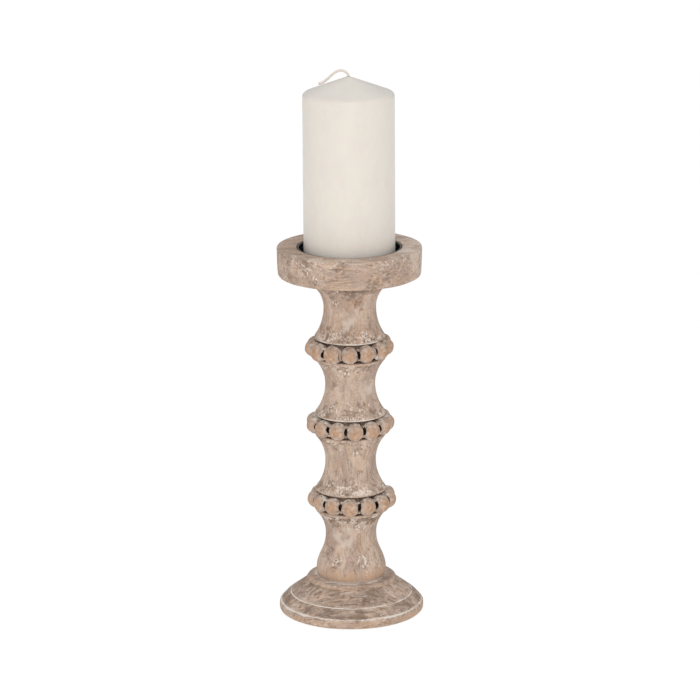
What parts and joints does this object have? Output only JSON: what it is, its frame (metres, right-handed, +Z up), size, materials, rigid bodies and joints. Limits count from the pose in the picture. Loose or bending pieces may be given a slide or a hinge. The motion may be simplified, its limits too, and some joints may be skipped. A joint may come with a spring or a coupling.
{
  "type": "pillar candlestick",
  "caption": "Turned wooden pillar candlestick with beaded rings between stacked coved spools, a moulded round base, a thick plate with a steel cup, and a pillar candle that lifts out.",
  "frame": {"origin": "centre of the underside, on the surface that the candlestick stands on", "axes": "+Z up along the turned axis, -Y the front; the free end of the wick leans towards -X"},
  "size_m": [0.1218, 0.1218, 0.4643],
  "materials": {
    "whitewashed_wood": "turned hardwood, distressed whitewash over a pale brown stain, dull",
    "bead_wood": "turned beads, whitewash rubbed back to tan wood on the outward faces",
    "zinc_steel": "zinc-plated steel rod, nuts and washers",
    "black_enamel": "pressed steel cup, gloss black enamel",
    "iron_wire": "annealed dark iron wire",
    "felt": "pressed wool felt",
    "wax": "ivory candle wax, satin",
    "cotton_wick": "twisted cotton, waxed"
  },
  "bodies": {
    "holder": {"felt_pad": "felt", "base": "whitewashed_wood", "foot_spool": "whitewashed_wood", "lower_spool": "whitewashed_wood", "middle_spool": "whitewashed_wood", "upper_spool": "whitewashed_wood", "candle_plate": "whitewashed_wood", "plate_liner": "black_enamel", "tie_rod": "zinc_steel", "base_washer": "zinc_steel", "base_nut": "zinc_steel", "plate_washer": "zinc_steel", "plate_nut": "zinc_steel", "lower_bead_wire": "iron_wire", "middle_bead_wire": "iron_wire", "upper_bead_wire": "iron_wire", "lower_bead_01": "bead_wood", "lower_bead_02": "bead_wood", "lower_bead_03": "bead_wood", "lower_bead_04": "bead_wood", "lower_bead_05": "bead_wood", "lower_bead_06": "bead_wood", "lower_bead_07": "bead_wood", "lower_bead_08": "bead_wood", "lower_bead_09": "bead_wood", "lower_bead_10": "bead_wood", "lower_bead_11": "bead_wood", "lower_bead_12": "bead_wood", "lower_bead_13": "bead_wood", "middle_bead_01": "bead_wood", "middle_bead_02": "bead_wood", "middle_bead_03": "bead_wood", "middle_bead_04": "bead_wood", "middle_bead_05": "bead_wood", "middle_bead_06": "bead_wood", "middle_bead_07": "bead_wood", "middle_bead_08": "bead_wood", "middle_bead_09": "bead_wood", "middle_bead_10": "bead_wood", "middle_bead_11": "bead_wood", "middle_bead_12": "bead_wood", "middle_bead_13": "bead_wood", "upper_bead_01": "bead_wood", "upper_bead_02": "bead_wood", "upper_bead_03": "bead_wood", "upper_bead_04": "bead_wood", "upper_bead_05": "bead_wood", "upper_bead_06": "bead_wood", "upper_bead_07": "bead_wood", "upper_bead_08": "bead_wood", "upper_bead_09": "bead_wood", "upper_bead_10": "bead_wood", "upper_bead_11": "bead_wood", "upper_bead_12": "bead_wood", "upper_bead_13": "bead_wood"},
    "candle": {"candle": "wax", "wick_core": "cotton_wick", "wick": "cotton_wick"}
  },
  "joints": [
    {"name": "candle_lift", "type": "slide", "parent": "holder", "child": "candle", "axis": [0, 0, 1], "range_m": [0, 0.06]}
  ]
}
